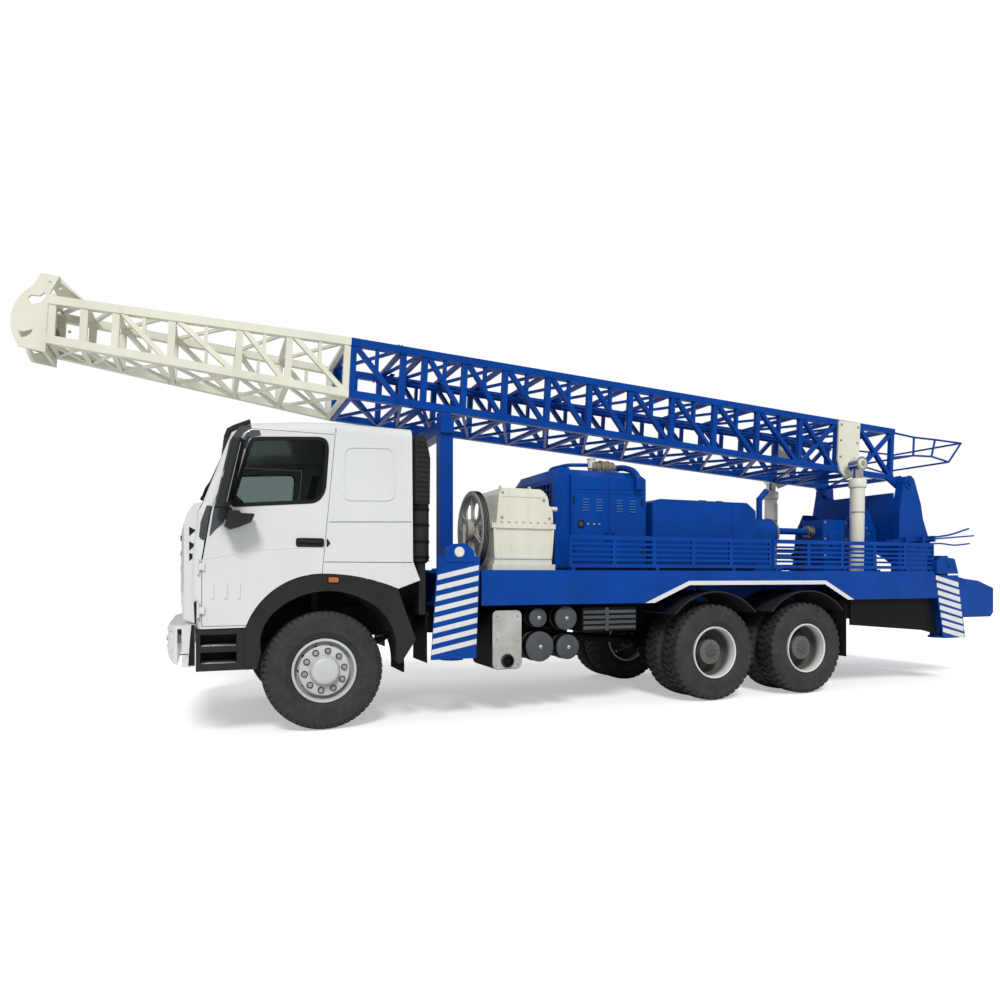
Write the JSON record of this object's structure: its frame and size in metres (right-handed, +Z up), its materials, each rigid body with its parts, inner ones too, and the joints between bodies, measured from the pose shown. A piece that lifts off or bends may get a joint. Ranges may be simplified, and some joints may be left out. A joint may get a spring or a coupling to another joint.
{
  "type": "truck-mounted rotary drilling rig",
  "caption": "Rotary drilling rig on a cab-over truck: folding lattice mast with crown block, mud pump, deck engine, winch, jacks and rear rotary table.",
  "frame": {"origin": "on the ground below the middle of the whole rig's length and width", "axes": "+X towards the rear end, +Y towards the truck's right side, +Z up; the cab faces -X"},
  "size_m": [11.928, 2.967, 4.1381],
  "materials": {
    "white_paint": "gloss white paint",
    "cream_paint": "satin cream paint",
    "blue_paint": "gloss blue paint",
    "black_plastic": "grained black plastic",
    "chassis_black": "satin black paint",
    "grey_iron": "bare and dusty cast iron",
    "rod_chrome": "hard chrome",
    "tyre_rubber": "moulded tread rubber",
    "rim_silver": "silver wheel paint",
    "window_glass": "tinted glass",
    "lamp_lens": "clear and red lenses",
    "cab_fabric": "dark woven trim"
  },
  "bodies": {
    "truck": {"chassis_frame": "chassis_black", "powertrain": "chassis_black", "front_axle": "chassis_black", "rear_axles": "chassis_black", "cab_shell": "white_paint", "cab_interior": "cab_fabric", "windscreen": "window_glass", "front_panel": "white_paint", "grille": "black_plastic", "bumper": "white_paint", "lamps": "lamp_lens", "fenders": "black_plastic", "cab_trim": "black_plastic", "deck": "blue_paint", "jack_housings": "blue_paint", "mast_rest": "blue_paint", "slat_rails": "blue_paint", "mud_pump": "cream_paint", "pump_drive": "grey_iron", "engine_canopy": "blue_paint", "engine_exhaust": "grey_iron", "diesel_tank": "blue_paint", "transfer_gearbox": "blue_paint", "winch_frame": "blue_paint", "rear_frame": "blue_paint", "rear_platform": "blue_paint", "under_deck_boxes": "chassis_black"},
    "mast": {"lower_mast": "blue_paint", "mast_tail": "blue_paint", "upper_mast": "cream_paint", "crown_block": "cream_paint", "cylinder_plates": "cream_paint"},
    "mast_cylinder_barrels": {"cylinder_barrels": "cream_paint"},
    "mast_cylinder_rods": {"cylinder_rods": "rod_chrome"},
    "winch": {"winch_drum": "blue_paint"},
    "steering_tie_rod": {"tie_rod": "chassis_black"},
    "steering_knuckle_left": {"knuckle_left": "chassis_black"},
    "front_wheel_left": {"tyre_front_left": "tyre_rubber", "rim_front_left": "rim_silver"},
    "middle_wheels_left": {"tyres_middle_left": "tyre_rubber", "rims_middle_left": "rim_silver"},
    "rear_wheels_left": {"tyres_rear_left": "tyre_rubber", "rims_rear_left": "rim_silver"},
    "cab_door_left": {"door_left": "white_paint", "door_glass_left": "window_glass", "door_mirror_left": "black_plastic"},
    "jack_leg_front_left": {"jack_front_left": "blue_paint"},
    "jack_leg_rear_left": {"jack_rear_left": "blue_paint"},
    "steering_knuckle_right": {"knuckle_right": "chassis_black"},
    "front_wheel_right": {"tyre_front_right": "tyre_rubber", "rim_front_right": "rim_silver"},
    "middle_wheels_right": {"tyres_middle_right": "tyre_rubber", "rims_middle_right": "rim_silver"},
    "rear_wheels_right": {"tyres_rear_right": "tyre_rubber", "rims_rear_right": "rim_silver"},
    "cab_door_right": {"door_right": "white_paint", "door_glass_right": "window_glass", "door_mirror_right": "black_plastic"},
    "jack_leg_front_right": {"jack_front_right": "blue_paint"},
    "jack_leg_rear_right": {"jack_rear_right": "blue_paint"}
  },
  "joints": [
    {"name": "mast_raise", "type": "hinge", "parent": "truck", "child": "mast", "pos_m": [4.609, 0, 2.7], "axis": [0, 1, 0], "range_deg": [0, 87]},
    {"name": "cylinder_tilt", "type": "hinge", "parent": "truck", "child": "mast_cylinder_barrels", "pos_m": [3.604, 0, 1.3], "axis": [0, 1, 0], "range_deg": [0, 25]},
    {"name": "cylinder_extend", "type": "slide", "parent": "mast_cylinder_barrels", "child": "mast_cylinder_rods", "axis": [0.0189, 0, 0.9998], "range_m": [0, 1.06]},
    {"name": "winch_turn", "type": "hinge", "parent": "truck", "child": "winch", "pos_m": [4.069, 0, 1.99], "axis": [0, 1, 0], "continuous": true},
    {"name": "steer_left", "type": "hinge", "parent": "truck", "child": "steering_knuckle_left", "pos_m": [-3.351, -0.8, 0.55], "axis": [0, 0, 1], "range_deg": [-35, 35]},
    {"name": "front_wheel_left_spin", "type": "hinge", "parent": "steering_knuckle_left", "child": "front_wheel_left", "pos_m": [-3.351, -1.01, 0.545], "axis": [0, 1, 0], "continuous": true},
    {"name": "middle_wheels_left_spin", "type": "hinge", "parent": "truck", "child": "middle_wheels_left", "pos_m": [0.974, -0.915, 0.545], "axis": [0, 1, 0], "continuous": true},
    {"name": "rear_wheels_left_spin", "type": "hinge", "parent": "truck", "child": "rear_wheels_left", "pos_m": [2.324, -0.915, 0.545], "axis": [0, 1, 0], "continuous": true},
    {"name": "cab_door_left_open", "type": "hinge", "parent": "truck", "child": "cab_door_left", "pos_m": [-4.416, -1.26, 1.43], "axis": [0, 0, -1], "range_deg": [0, 70]},
    {"name": "jack_leg_front_left_lower", "type": "slide", "parent": "truck", "child": "jack_leg_front_left", "axis": [0, 0, -1], "range_m": [0, 0.585]},
    {"name": "jack_leg_rear_left_lower", "type": "slide", "parent": "truck", "child": "jack_leg_rear_left", "axis": [0, 0, -1], "range_m": [0, 0.585]},
    {"name": "steer_right", "type": "hinge", "parent": "truck", "child": "steering_knuckle_right", "pos_m": [-3.351, 0.8, 0.55], "axis": [0, 0, 1], "range_deg": [-35, 35]},
    {"name": "front_wheel_right_spin", "type": "hinge", "parent": "steering_knuckle_right", "child": "front_wheel_right", "pos_m": [-3.351, 1.01, 0.545], "axis": [0, 1, 0], "continuous": true},
    {"name": "middle_wheels_right_spin", "type": "hinge", "parent": "truck", "child": "middle_wheels_right", "pos_m": [0.974, 0.915, 0.545], "axis": [0, 1, 0], "continuous": true},
    {"name": "rear_wheels_right_spin", "type": "hinge", "parent": "truck", "child": "rear_wheels_right", "pos_m": [2.324, 0.915, 0.545], "axis": [0, 1, 0], "continuous": true},
    {"name": "cab_door_right_open", "type": "hinge", "parent": "truck", "child": "cab_door_right", "pos_m": [-4.416, 1.26, 1.43], "axis": [0, 0, 1], "range_deg": [0, 70]},
    {"name": "jack_leg_front_right_lower", "type": "slide", "parent": "truck", "child": "jack_leg_front_right", "axis": [0, 0, -1], "range_m": [0, 0.585]},
    {"name": "jack_leg_rear_right_lower", "type": "slide", "parent": "truck", "child": "jack_leg_rear_right", "axis": [0, 0, -1], "range_m": [0, 0.585]},
    {"name": "tie_rod_slide", "type": "slide", "parent": "truck", "child": "steering_tie_rod", "axis": [0, 1, 0], "range_m": [-0.136, 0.136]}
  ],
  "couplings": [
    {"joint": "cylinder_tilt", "follows": "mast_raise", "ratio": 0.28221},
    {"joint": "cylinder_extend", "follows": "mast_raise", "m_per_rad": 0.69382},
    {"joint": "steer_right", "follows": "steer_left", "ratio": 1},
    {"joint": "tie_rod_slide", "follows": "steer_left", "m_per_rad": 0.22065}
  ]
}
